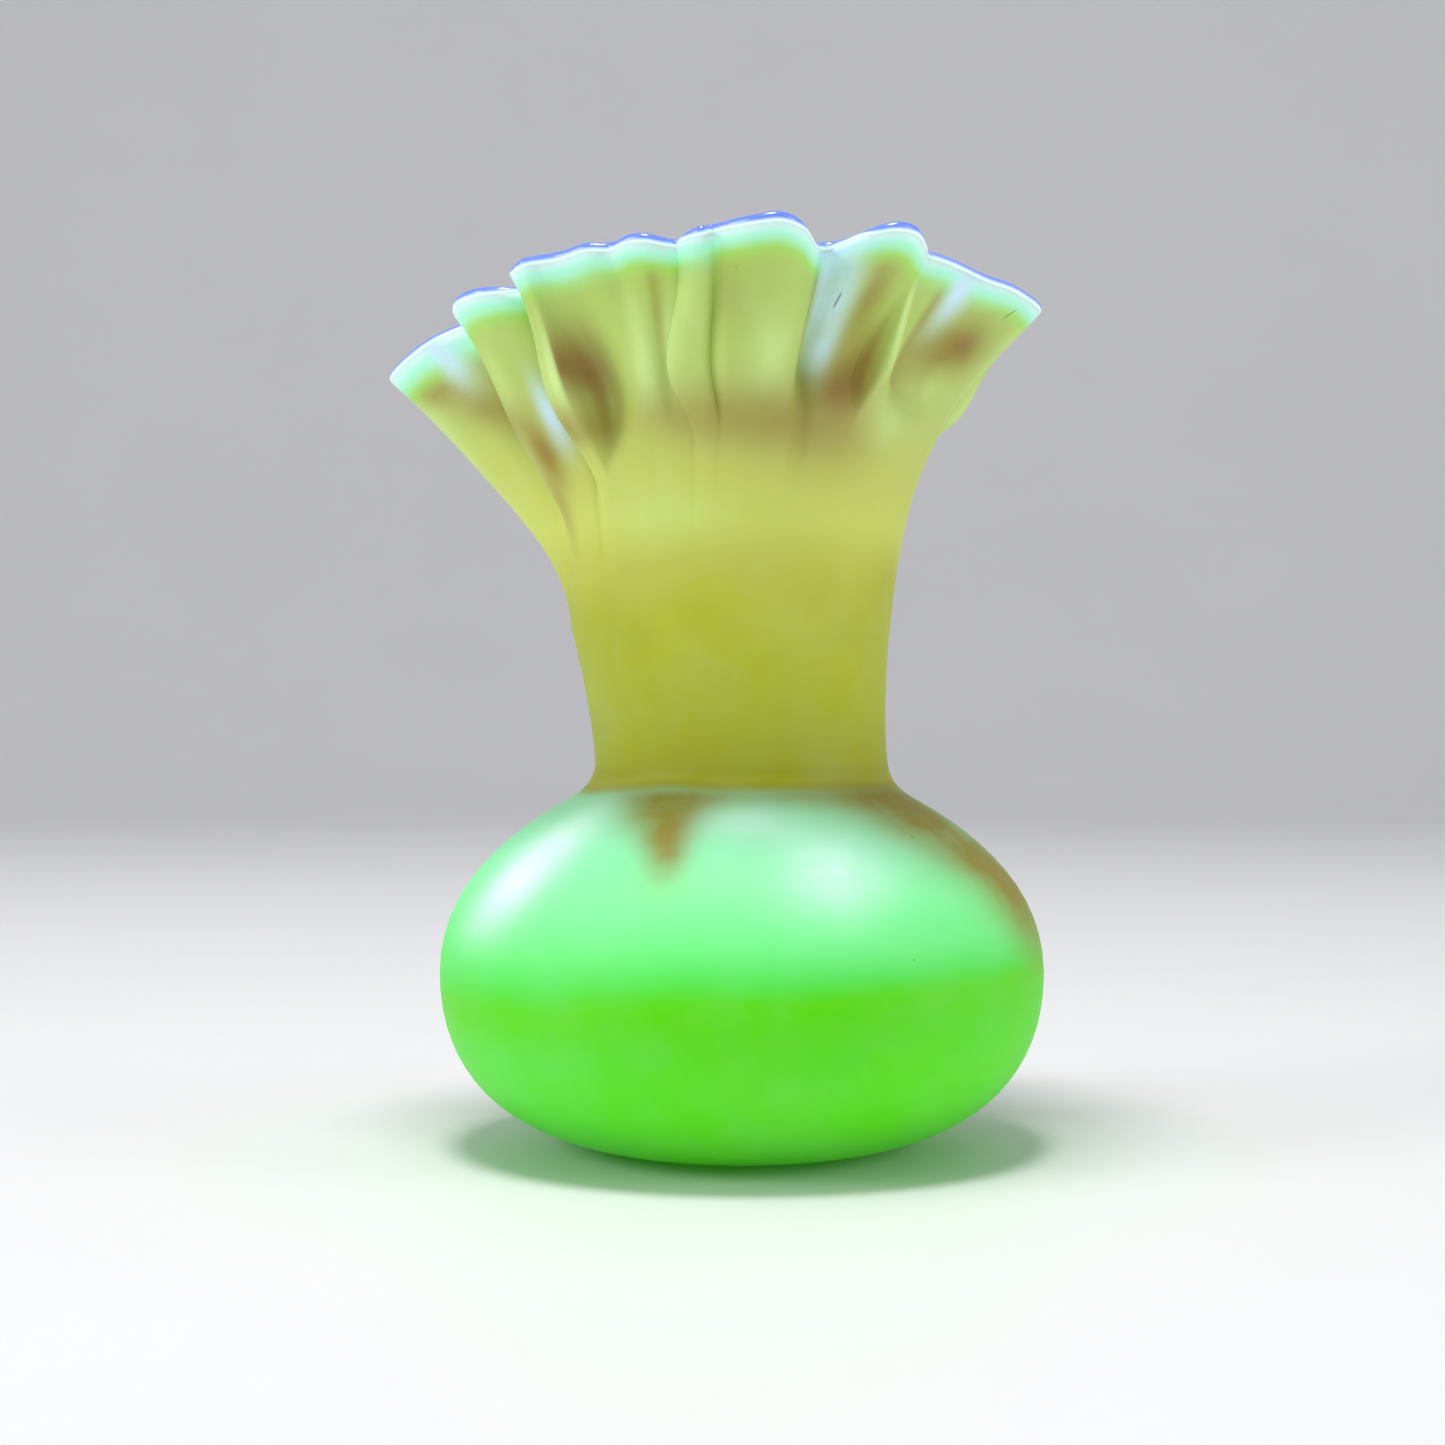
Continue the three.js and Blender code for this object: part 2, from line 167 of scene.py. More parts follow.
# Soft patches on the outside: azimuth, height, width on the low side and on the high side of
# the middle, half height, and strength.
PATCHES = {
    # Painted lamp light: lavender white at the bottom of the valleys, where they face the lamp.
    "valley_highlight": [
        (10.0, 84.5, 1.1, 1.1, 2.6, 0.9),
        (36.8, 77.4, 0.8, 0.8, 3.0, 1.0),
        (108.5, 90.5, 1.4, 1.8, 3.0, 1.0),
        (110.5, 87.0, 1.2, 1.3, 3.0, 1.0),
        (112.0, 83.4, 0.9, 0.9, 2.4, 0.9),
        (147.0, 90.0, 1.4, 1.8, 3.0, 1.0),
    ],
    # Painted shade: brown where the pleats are deep, in the recesses under the lobes.
    "recess_shade": [
        (22.4, 84.0, 1.6, 0.3, 3.6, 0.5),
        (49.6, 81.4, 0.08, 2.1, 3.2, 0.95),
        (54.0, 83.5, 1.4, 1.6, 2.6, 0.35),
        (48.0, 75.6, 1.8, 1.8, 2.0, 0.7),
        (73.0, 87.0, 0.5, 0.8, 4.5, 0.5),
        (85.0, 86.0, 0.2, 0.25, 5.5, 0.7),
        (88.0, 87.0, 0.8, 1.6, 3.4, 0.3),
        (31.5, 73.5, 1.7, 1.7, 3.4, 0.95),
        (27.5, 68.5, 1.3, 1.3, 4.0, 0.5),
        (22.0, 76.8, 3.6, 3.6, 2.4, 0.8),
        (12.0, 79.0, 3.0, 3.0, 2.0, 0.7),
        (3.0, 81.4, 3.2, 3.2, 1.7, 0.7),
        (118.0, 79.2, 2.4, 2.6, 2.6, 1.0),
        (122.6, 81.4, 3.0, 0.4, 3.4, 1.0),
        (116.5, 87.0, 1.2, 1.8, 4.0, 0.7),
        (103.0, 76.0, 9.0, 9.0, 3.4, 0.6),
        (122.0, 74.0, 6.0, 5.0, 3.6, 0.3),
        (78.0, 76.4, 8.0, 8.0, 2.4, 0.45),
        (158.0, 85.0, 4.4, 4.4, 2.7, 1.0),
        (141.5, 88.2, 0.8, 0.8, 3.0, 0.5),
    ],
    # Painted shadow of the ruffled rim: amber on the shoulder below the crease.
    "rim_shadow": [
        (66.0, 38.0, 7.0, 6.0, 1.1, 1.0),
        (67.5, 36.6, 5.0, 4.2, 1.6, 1.0),
        (70.5, 34.8, 2.8, 2.6, 1.8, 1.0),
        (73.0, 32.8, 2.2, 2.0, 1.8, 0.8),
        (74.0, 31.0, 2.6, 2.4, 2.0, 0.35),
        (104.0, 38.2, 8.0, 8.0, 0.8, 0.5),
        (142.0, 37.9, 9.0, 14.0, 1.4, 1.0),
        (147.0, 35.6, 8.0, 14.0, 2.4, 1.0),
        (154.0, 32.2, 8.0, 14.0, 3.0, 1.0),
        (161.0, 28.6, 8.0, 14.0, 3.2, 1.0),
        (160.0, 25.4, 6.0, 20.0, 3.2, 0.7),
        (164.0, 22.4, 5.0, 20.0, 2.4, 0.45),
        (280.0, 37.0, 8.0, 8.0, 1.8, 0.9),
        (284.0, 33.6, 4.0, 4.0, 3.0, 0.8),
    ],
    # Painted highlight: white on the shoulder.
    "shoulder_highlight": [
        (40.0, 33.6, 3.8, 3.8, 3.2, 0.8),
        (36.0, 29.8, 4.6, 4.6, 3.4, 0.9),
        (30.0, 25.6, 5.0, 5.0, 3.2, 0.4),
        (110.0, 31.0, 6.0, 6.0, 3.6, 0.6),
        (92.0, 35.8, 4.6, 4.6, 1.6, 0.4),
        (225.0, 31.0, 5.0, 5.0, 4.0, 0.6),
        (318.0, 32.0, 4.0, 4.0, 4.0, 0.6),
    ],
    # Painted highlight: pale yellow green on the crests of the ruffle and below them.
    "pale": [
        (49.3, 80.4, 0.9, 0.15, 3.6, 1.0),
        (67.8, 82.0, 1.6, 1.4, 4.4, 0.95),
        (77.6, 83.4, 1.6, 1.4, 4.4, 0.9),
        (81.0, 87.0, 0.8, 0.8, 2.0, 0.5),
        (96.0, 81.6, 2.0, 2.0, 3.2, 0.7),
        (29.0, 81.0, 1.4, 1.4, 3.0, 0.4),
        (70.0, 67.0, 6.0, 6.0, 3.0, 0.4),
        (124.6, 84.6, 0.3, 1.5, 5.6, 1.0),
        (138.0, 76.6, 3.0, 3.0, 2.6, 0.6),
        (157.0, 81.4, 2.0, 2.0, 2.0, 0.5),
    ],
    # Mint that runs down from the lip: partly the lip's own paler tone, partly painted light.
    "lit_lip_mint": [
        (9.0, 86.2, 5.0, 5.0, 1.8, 1.0),
        (54.0, 90.4, 4.0, 4.0, 1.4, 0.9),
        (81.5, 91.2, 1.2, 1.6, 1.6, 1.0),
        (148.0, 92.0, 6.0, 6.0, 1.8, 1.0),
        (160.0, 90.8, 4.0, 4.0, 1.2, 0.7),
        (105.5, 92.0, 2.0, 2.0, 1.6, 0.6),
    ],
}

# Dark specks and short scratches: azimuth, height, radius of the surface there, half length,
# and how far the scratch turns from upright, in degrees.
MARKS = [
    (135.8, 34.0, 24.0, 0.22, 0),
    (121.0, 22.6, 32.2, 0.16, 0),
    (110.6, 87.4, 26.2, 1.4, 8),
    (167.0, 89.0, 29.0, 1.3, 40),
    (88.6, 89.2, 31.0, 0.5, -20),
    (86.8, 84.4, 26.6, 0.4, 10),
]
# Half of a mark's width and of its depth into the wall, then how it eases in towards its middle.
MARK_HALF_WIDTH = 0.12
MARK_HALF_DEPTH = 1.5
MARK_EDGE = (1.0, 0.5, 0.0, 0.6)

# A point is a full crest when it stands out this far, in millimetres, from the wall that is up to
# this many steps away on each side.
RELIEF_HEIGHT = 0.8
RELIEF_SPAN = 9


def lerp(pair, share):
    return pair[0] + (pair[1] - pair[0]) * share


def unit(vectors):
    return vectors / np.linalg.norm(vectors, axis=-1)[..., None]


def outward(azimuth):
    """The level direction away from the axis at an azimuth."""
    angle = np.radians(azimuth)
    return np.stack([-np.cos(angle), -np.sin(angle), 0 * angle], -1)


def bezier(points, shares):
    """Points of a cubic Bezier curve at the given shares of its length."""
    t = np.asarray(shares)[:, None]
    a, b, c, d = (np.asarray(p, float) for p in points)
    return (1 - t) ** 3 * a + 3 * (1 - t) ** 2 * t * b + 3 * (1 - t) * t * t * c + t**3 * d


def chain(curves):
    """Joins Bezier curves end to end, without repeating the points where they meet."""
    parts = []
    for curve in curves:
        shares = np.linspace(0, 1, PROFILE_STEPS + 1)
        parts.append(bezier(curve, shares[1:] if parts else shares))
    return np.vstack(parts)


def outer_profile():
    """Radius and height of the outside from the edge of the foot to the top of the neck."""
    level = (FLOOR_RADIUS, FLOOR_HEIGHT)
    widest = (BULB_RADIUS, WIDEST_HEIGHT)
    shoulder = (SHOULDER_RADIUS, SHOULDER_HEIGHT)
    waist = (WAIST_RADIUS, WAIST_HEIGHT)
    top = (NECK_TOP_RADIUS, NECK_TOP_HEIGHT)
    return chain(
        [
            ((FOOT_RADIUS, 0), (14.5, 0), (19.3, 0.75), level),
            (level, (28.5, 5.7), (BULB_RADIUS, 10.6), widest),
            (widest, (BULB_RADIUS, 27.4), (26.4, 33.2), shoulder),
            (shoulder, (17.3, 38.3), (16.2, 39.2), waist),
            (waist, (15.7, 44.0), (16.2, 50.0), top),
        ]
    )


def inner_profile():
    """Radius and height of the inside from the floor to the top of the neck."""
    inside = BULB_RADIUS - WALL
    widest = (inside, WIDEST_HEIGHT)
    shoulder = (SHOULDER_RADIUS - SLANTED_WALL, SHOULDER_HEIGHT)
    top = (NECK_TOP_RADIUS - WALL, NECK_TOP_HEIGHT)
    return chain(
        [
            ((17.5, FLOOR_HEIGHT), (26.5, 5.0), (inside, 11.0), widest),
            (widest, (inside, 26.4), (24.6, 32.0), shoulder),
            (shoulder, (12.9, 40.2), (13.9, 47.0), top),
        ]
    )


def back_ribs():
    """The ribs of the back half, lobe by lobe from the high side to the low side."""
    ribs = []
    for lobe in range(BACK_LOBES):
        share = lobe / (BACK_LOBES - 1)
        for turn, radius, height, out, lean in BACK_RIBS:
            azimuth = BACK_START + lobe * BACK_PITCH + turn
            edge = (lerp(BACK_RADIUS, share) + radius, lerp(BACK_HEIGHT, share) + height)
            ribs.append((azimuth, *edge, out, lean))
    return ribs


def rib_vectors(rib):
    """Six vectors of a rib: the four control points of its curve, from the neck top to the middle
    of the lip, then how its fold is pushed, then how near it is to the low side (as X)."""
    azimuth, edge_radius, edge_height, out, lean = rib
    direction = outward(azimuth)
    onward = np.array([-direction[1], direction[0], 0.0])
    up = np.array([0.0, 0.0, 1.0])
    low = (0.5 + 0.5 * math.cos(math.radians(azimuth))) ** LOW_POWER
    rise = lerp(THROAT_RISE, low)
    reach = lerp(FLARE_REACH, low)
    radius = edge_radius - LIP_WALL / 2 * math.cos(FLARE_ANGLE)
    height = edge_height - LIP_WALL / 2 * math.sin(FLARE_ANGLE)
    neck = direction * (NECK_TOP_RADIUS - WALL / 2) + NECK_CENTRE
    throat = neck + direction * lerp(THROAT_SPREAD, low) * rise + up * rise
    pleat = (edge_radius - lerp(MEAN_LIP_RADIUS, low)) * (1 - lerp(PLEAT_DEPTH, low))
    flare_radius = radius - reach * math.cos(FLARE_ANGLE) - pleat
    flare = direction * flare_radius + up * (height - reach * math.sin(FLARE_ANGLE))
    lip = direction * radius + up * height
    return [neck, throat, flare, lip, direction * out + onward * lean, np.array([low, 0.0, 0.0])]


def smooth(low, high, value):
    t = np.clip((value - low) / (high - low), 0, 1)
    return t * t * (3 - 2 * t)


def round_spline(points, steps):
    """A closed Catmull-Rom curve through points, with that many steps from each to the next."""
    before, after = np.roll(points, 1, 0), np.roll(points, -1, 0)
    later = np.roll(points, -2, 0)
    rows = []
    for k in range(steps):
        t = k / steps
        rows.append(
            0.5
            * (
                2 * points
                + (after - before) * t
                + (2 * before - 5 * points + 4 * after - later) * t**2
                + (3 * points - before - 3 * after + later) * t**3
            )
        )
    return np.stack(rows, 1).reshape(-1, points.shape[1])


def inward_side(push, direction):
    """The folds as the inside follows them: at a step it keeps to the side nearer the axis."""
    out = np.sum(push * direction, 1)
    shifts = range(-INSIDE_SPAN, INSIDE_SPAN + 1)
    deep = np.min([np.roll(out, shift) for shift in shifts], 0)
    even = np.mean([np.roll(deep, shift) for shift in shifts], 0)
    return direction * even[:, None]


def mouth_surface(shares):
    """The middle of the mouth's wall without its folds, and how the folds move the outside and
    the inside: three arrays [step round, step up, xyz]."""
    ribs = np.array([rib_vectors(rib) for rib in FRONT_RIBS + back_ribs()])
    rings = [round_spline(ribs[:, part], STEPS_PER_RIB) for part in range(ribs.shape[1])]
    spoke = unit(rings[0] - NECK_CENTRE)
    rings[0] = NECK_CENTRE + spoke * (NECK_TOP_RADIUS - WALL / 2)
    inner_push = inward_side(rings[4], spoke)
    a, b, c, d, push, low = (ring[:, None] for ring in rings)
    t = shares[None, :, None]
    middle = (1 - t) ** 3 * a + 3 * (1 - t) ** 2 * t * b + 3 * (1 - t) * t * t * c + t**3 * d
    peak = lerp(FOLD_PEAK, low[..., :1])
    share = smooth(lerp(FOLD_START, low[..., :1]), peak, t) * (1 - smooth(peak, 1, t))
    return middle, push * share, inner_push[:, None] * share


def lip_rows(middle, normal, tip):
    """The half-round edge at the end of the wall, from the outside over to the inside."""
    rows = []
    for k in range(1, EDGE_STEPS):
        turn = math.pi * k / EDGE_STEPS
        across = normal * math.cos(turn) + tip * math.sin(turn)
        rows.append(middle + across * LIP_WALL / 2)
    return np.stack(rows, 1)


def round_part(spoke, profile):
    """A profile turned round the axis, without its last row, which the flare starts with."""
    rise = (profile[:, 1] - WAIST_HEIGHT) / (NECK_TOP_HEIGHT - WAIST_HEIGHT)
    grid = spoke[:, None] * profile[None, :, :1]
    grid[..., 0] += NECK_LEAN * np.clip(rise, 0, 1)
    grid[..., 2] = profile[:, 1]
    return grid[:, :-1]


def glass_grid():
    """The whole skin, up the outside, over the lip and down the inside, as [step round, step
    along, xyz], and the share of the flare at each step along, which is 0 below it."""
    shares = np.linspace(0, 1, FLARE_STEPS + 1)
    middle, fold, inner_fold = mouth_surface(shares)
    onward = np.roll(middle, -1, 0) - np.roll(middle, 1, 0)
    rising = np.gradient(middle, axis=1)
    normal = unit(np.cross(onward, rising))
    half_wall = lerp((WALL, LIP_WALL), shares)[None, :, None] / 2
    outside = middle + fold + normal * half_wall
    inside = middle + inner_fold - normal * half_wall
    outside[:, 0, 2] = NECK_TOP_HEIGHT
    inside[:, 0, 2] = NECK_TOP_HEIGHT
    edge = lip_rows(middle[:, -1], normal[:, -1], unit(rising[:, -1]))
    spoke = unit((middle[:, 0] - NECK_CENTRE) * (1, 1, 0))
    lower_out = round_part(spoke, outer_profile())
    lower_in = round_part(spoke, inner_profile())
    grid = np.concatenate([lower_out, outside, edge, inside[:, ::-1], lower_in[:, ::-1]], 1)
    flare = np.zeros(grid.shape[1])
    first = lower_out.shape[1]
    last = len(flare) - lower_in.shape[1]
    flare[first:last] = 1
    flare[first : first + len(shares)] = shares
    flare[last - len(shares) : last] = shares[::-1]
    return grid, flare


def patch_strength(grid, azimuth, patches):
    """How strongly soft patches cover a grid's points: 1 in the middle of one, 0 away from it.
    The azimuth is that of each step round, so an edge of a patch can follow a fold."""
    radius = np.linalg.norm(grid[..., :2], axis=-1)
    clear = np.ones(radius.shape)
    for centre, height, low_width, high_width, half_height, strength in patches:
        apart = np.radians((azimuth - centre + 180) % 360 - 180)
        across = (apart / np.where(apart < 0, low_width, high_width))[:, None] * radius
        up = (grid[..., 2] - height) / half_height
        clear *= 1 - strength * np.exp(-(across**2) - up**2)
    return 1 - clear


def relief(grid):
    """How far each point of the grid stands out from the ring round it, as a share of the
    height of a full crest."""
    radius = np.linalg.norm(grid[..., :2], axis=-1)
    around = np.zeros_like(radius)
    weights = 0
    for step in range(-RELIEF_SPAN, RELIEF_SPAN + 1):
        weight = math.exp(-((2 * step / RELIEF_SPAN) ** 2))
        around += np.roll(radius, step, 0) * weight
        weights += weight
    return (radius - around / weights) / RELIEF_HEIGHT


def make_mesh(name, points, faces, flat=0):
    """A smooth mesh from points in millimetres, whose last few faces are flat."""
    mesh = bpy.data.meshes.new(name)
    mesh.from_pydata([tuple(p * MM) for p in points], [], faces)
    mesh.validate()
    count = len(mesh.polygons)
    mesh.polygons.foreach_set("use_smooth", [True] * (count - flat) + [False] * flat)
    obj = bpy.data.objects.new(name, mesh)
    bpy.context.scene.collection.objects.link(obj)
    return obj


def store(obj, name, values):
    layer = obj.data.attributes.new(name, "FLOAT", "POINT")
    layer.data.foreach_set("value", np.asarray(values, np.float32))


def strip_faces(rounds, rows):
    """The faces of a grid that closes on itself round the axis."""
    faces = []
    for i in range(rounds):
        after = (i + 1) % rounds
        for j in range(rows - 1):
            faces.append((i * rows + j, after * rows + j, after * rows + j + 1, i * rows + j + 1))
    return faces


def bridge_faces(rounds, rows, low, high):
    """The faces of a flat ring from one row of such a grid to another."""
    faces = []
    for i in range(rounds):
        here = i * rows
        after = (i + 1) % rounds * rows
        faces.append((here + low, after + low, after + high, here + high))
    return faces


def build_wall(grid, flare, first, last):
    """The wall in one skin with thickness, closed flat between the lip's first and last row."""
    rounds, rows = grid.shape[:2]
    faces = [face for face in strip_faces(rounds, rows) if not first <= face[0] % rows < last]
    middles = np.array([[0, 0, 0], [0, 0, FLOOR_HEIGHT]])
    underside = rounds * rows
    floor = underside + 1
    for i in range(rounds):
        here = i * rows
        after = (i + 1) % rounds * rows
        faces.append((underside, after, here))
        faces.append((floor, here + rows - 1, after + rows - 1))
    faces += bridge_faces(rounds, rows, first, last)
    wall = make_mesh("vase_glass", np.vstack([grid.reshape(-1, 3), middles]), faces, rounds)

    def store_grid(name, values):
        """Stores a value for each point of the grid, and none at the two middles."""
        store(wall, name, np.append(values.ravel(), [0, 0]))

    store_grid("flare", np.tile(flare, rounds))
    store_grid("relief", relief(grid))
    spoke = grid[:, PROFILE_STEPS, :2]
    azimuth = np.degrees(np.arctan2(-spoke[:, 1], -spoke[:, 0]))
    outside = np.arange(rows) <= (first + last) / 2
    for name, patches in PATCHES.items():
        store_grid(name, patch_strength(grid, azimuth, patches) * outside)
    return wall


def build_lip(strip):
    """The lip's rounded edge, closed flat underneath."""
    rounds, rows = strip.shape[:2]
    faces = strip_faces(rounds, rows) + bridge_faces(rounds, rows, rows - 1, 0)
    lip = make_mesh("lip_edge", strip.reshape(-1, 3), faces, rounds)
    store(lip, "across", np.tile(np.linspace(0, 1, rows), rounds))
    return lip


def build_glass():
    """The wall, and the lip's edge as the strip that finishes it."""
    grid, flare = glass_grid()
    lip_steps = np.nonzero(flare == 1)[0]
    first = lip_steps[0]
    last = lip_steps[-1]
    return build_wall(grid, flare, first, last), build_lip(grid[:, first : last + 1])


def linear(red, green, blue):
    """A colour given as 8-bit sRGB, as linear light."""
    values = []
    for value in (red, green, blue):
        v = value / 255
        values.append(v / 12.92 if v <= 0.04045 else ((v + 0.055) / 1.055) ** 2.4)
    return (*values, 1.0)


class Nodes:
    """Short names for adding and joining nodes in a material."""

    def __init__(self, name):
        self.material = bpy.data.materials.new(name)
        self.material.use_nodes = True
        self.tree = self.material.node_tree
        self.shader = self.tree.nodes["Principled BSDF"]

    def add(self, kind, **values):
        node = self.tree.nodes.new(kind)
        for key, value in values.items():
            setattr(node, key, value)
        return node

    def join(self, source, target):
        self.tree.links.new(source, target)

    def put(self, source, socket):
        """Joins a socket, or sets a number or a colour."""
        if isinstance(source, (int, float, tuple)):
            socket.default_value = source
        else:
            self.join(source, socket)

    def finish(self, values):
        """Puts each value on the shader's socket of that name."""
        for name, value in values.items():
            self.put(value, self.shader.inputs[name])
        return self.material

    def math(self, operation, a, b=0.0, clamp=False):
        node = self.add("ShaderNodeMath", operation=operation, use_clamp=clamp)
        self.put(a, node.inputs[0])
        self.put(b, node.inputs[1])
        return node.outputs[0]

    def attribute(self, name):
        return self.add("ShaderNodeAttribute", attribute_name=name).outputs["Fac"]

    def position(self):
        return self.add("ShaderNodeTexCoord").outputs["Object"]

    def noise(self, scale, detail, roughness=0.5):
        """Noise whose scale is in lumps per metre."""
        node = self.add("ShaderNodeTexNoise")
        node.inputs["Scale"].default_value = scale
        node.inputs["Detail"].default_value = detail
        node.inputs["Roughness"].default_value = roughness
        self.join(self.position(), node.inputs["Vector"])
        return node.outputs["Fac"]

    def remap(self, value, low, high, to_low=0.0, to_high=1.0):
        """Eases from one output to the other as a value goes from low to high."""
        node = self.add("ShaderNodeMapRange", interpolation_type="SMOOTHSTEP")
        self.put(value, node.inputs["Value"])
        node.inputs["From Min"].default_value = low
        node.inputs["From Max"].default_value = high
        node.inputs["To Min"].default_value = to_low
        node.inputs["To Max"].default_value = to_high
        return node.outputs["Result"]

    def mix(self, factor, a, b):
        node = self.add("ShaderNodeMix", data_type="RGBA")
        factor_socket, colour_a, colour_b = (node.inputs[i] for i in MIX_SOCKETS)
        self.put(factor, factor_socket)
        self.put(a, colour_a)
        self.put(b, colour_b)
        return node.outputs[MIX_COLOUR_OUTPUT]

    def ramp(self, value, stops):
        node = self.add("ShaderNodeValToRGB")
        elements = node.color_ramp.elements
        while len(elements) < len(stops):
            elements.new(0.5)
        for element, (place, colour) in zip(elements, stops):
            element.position = place
            element.color = linear(*colour)
        self.put(value, node.inputs[0])
        return node.outputs[0]


# Where a Mix node that mixes colours has its factor, its two colours and its result.
MIX_SOCKETS = (0, 6, 7)
MIX_COLOUR_OUTPUT = 2

# The heat shading up the wall, with painted light in it: height in millimetres and colour. The mint
# from about 19 mm up to the crease is painted top light on the bulb's upper half, the dark olive band
# at the crease is painted shade, and the neck's olive is partly the struck glass's own tone and
# partly painted shade under the flared rim.
HEAT_AND_LIGHT_SHADES = [
    (0, (92, 225, 0)),
    (18.9, (92, 218, 0)),
    (19.9, (86, 222, 50)),
    (21.5, (90, 228, 92)),
    (24.5, (112, 236, 132)),
    (28.5, (128, 242, 154)),
    (33.0, (140, 234, 176)),
    (38.1, (152, 226, 176)),
    (38.8, (156, 160, 34)),
    (39.6, (164, 168, 28)),
    (40.4, (154, 160, 24)),
    (41.4, (160, 166, 28)),
    (48.0, (174, 184, 40)),
    (56.0, (186, 193, 52)),
    (62.0, (193, 198, 74)),
    (66.0, (203, 213, 97)),
    (71.0, (198, 207, 98)),
    (79.0, (184, 202, 106)),
    (88.0, (176, 202, 100)),
]
TOP = 96.0

# The edge of the lip, from its outside over to its inside: a painted white highlight on the outer
# arris, a painted blue violet reflection of the lamp over the top, then mint again on the inside.
LIP_SHADES = [
    (0.0, (226, 255, 244)),
    (0.12, (236, 255, 252)),
    (0.20, (190, 220, 255)),
    (0.28, (110, 142, 240)),
    (0.62, (84, 112, 226)),
    (0.84, (120, 160, 236)),
    (1.0, (176, 250, 220)),
]

GREEN_PALE = linear(84, 222, 66)
OLIVE_DARK = linear(150, 160, 26)
# Painted shadow of the ruffled rim.
RIM_SHADOW_AMBER = linear(138, 126, 22)
# Painted shade in recesses and valleys.
SHADE_BROWN = linear(142, 100, 38)
# Painted highlight on crests.
CREST_HIGHLIGHT = linear(210, 240, 150)
# Painted highlight on the shoulder; also the faint random haze.
HIGHLIGHT_AND_HAZE_WHITE = linear(224, 255, 250)
LIP_GREEN = linear(164, 222, 96)
# Mint of the lip: partly its own paler tone, partly painted light.
LIP_MINT = linear(176, 250, 220)
# Painted highlight at the lip's edge.
LIP_WHITE = linear(220, 255, 248)
# Painted lamp light in the valleys.
LAVENDER_HIGHLIGHT = linear(206, 236, 255)
SPECK = linear(60, 60, 30)
SHEEN_TINT = linear(230, 255, 200)
FLOOR_SHADES = (linear(218, 218, 220), linear(224, 224, 226))

# The clouds in the glass: lumps per metre, and how far they shift the shading, in metres.
CLOUD_SCALE = 38
FINE_CLOUD_SCALE = 120
GRAIN_SCALE = 2600
GRAIN_DEPTH = 0.00005
WANDER = 0.003
FLARE_WANDER = 10  # share of the flare for each metre of that shift

# The shading's height changes by this for each metre along X, so the green's upper edge, where the
# painted top light on the bulb begins, slopes up towards the high side. It does so in full below the
# second height, and not above the first.
TILT = -0.07
TILT_FADE = (0.026, 0.016)

# Where shades and gloss ease from one value to another. The first two numbers are a height or a
# place along X, both in metres, or a cloud's value, a relief or a share of the flare. The next
# two are the values there, 0 and 1 where none are given.
PALE_GREEN_LEFT = (0.004, -0.028, 0.0, 0.6)
PALE_GREEN_CLOUDS = (0.50, 0.74, 0.0, 0.4)
PALE_GREEN_BELOW = (0.018, 0.013)
NECK_ABOVE = (0.040, 0.046)
NECK_BELOW = (0.068, 0.058)
NECK_CLOUDS = (0.46, 0.64, 0.0, 0.4)
PATCH_RAGGED = (0.25, 0.65, 0.8, 1.1)
SHADED_VALLEYS = (-0.05, -0.8, 0.0, 0.7)
LIT_CRESTS = (0.1, 1.0, 0.0, 0.45)
GREEN_ZONE = (0.915, 0.965)
MINT_ZONE = (0.945, 0.985)
WHITE_ZONE = (0.978, 1.0)
HAZE = (0.3, 0.8, 0.0, 0.05)
SATIN_ROUGHNESS = (0.3, 0.7, 0.42, 0.54)
LIP_ROUGHNESS = (0.3, 0.7, 0.14, 0.24)


def heat_and_light_shading(n, cloud, wander):
    """The colour by height: green in the lower bulb, painted top light as mint on the shoulder, olive
    in the neck, partly painted shade under the flared rim, and yellow green in the ruffle."""
    xyz = n.add("ShaderNodeSeparateXYZ")
    n.join(n.position(), xyz.inputs[0])
    across = xyz.outputs["X"]
    level = xyz.outputs["Z"]
    tilt = n.math("MULTIPLY", n.math("MULTIPLY", across, TILT), n.remap(level, *TILT_FADE))
    height = n.math("ADD", n.math("ADD", level, wander), tilt)
    share = n.math("DIVIDE", height, TOP * MM)
    colour = n.ramp(share, [(z / TOP, shade) for z, shade in HEAT_AND_LIGHT_SHADES])
    pale = n.math("MAXIMUM", n.remap(across, *PALE_GREEN_LEFT), n.remap(cloud, *PALE_GREEN_CLOUDS))
    pale = n.math("MULTIPLY", pale, n.remap(height, *PALE_GREEN_BELOW))
    colour = n.mix(pale, colour, GREEN_PALE)
    neck = n.math("MULTIPLY", n.remap(height, *NECK_ABOVE), n.remap(height, *NECK_BELOW))
    neck_cloud = n.math("MULTIPLY", n.remap(cloud, *NECK_CLOUDS), neck)
    return n.mix(neck_cloud, colour, OLIVE_DARK)


def lay_patch(n, colour, name, shade, ragged, amount=1.0):
    """Lays a shade over the colour where the patches of a name are, ragged by the clouds."""
    strength = n.math("MULTIPLY", n.attribute(name), ragged)
    return n.mix(n.math("MULTIPLY", strength, amount, clamp=True), colour, shade)


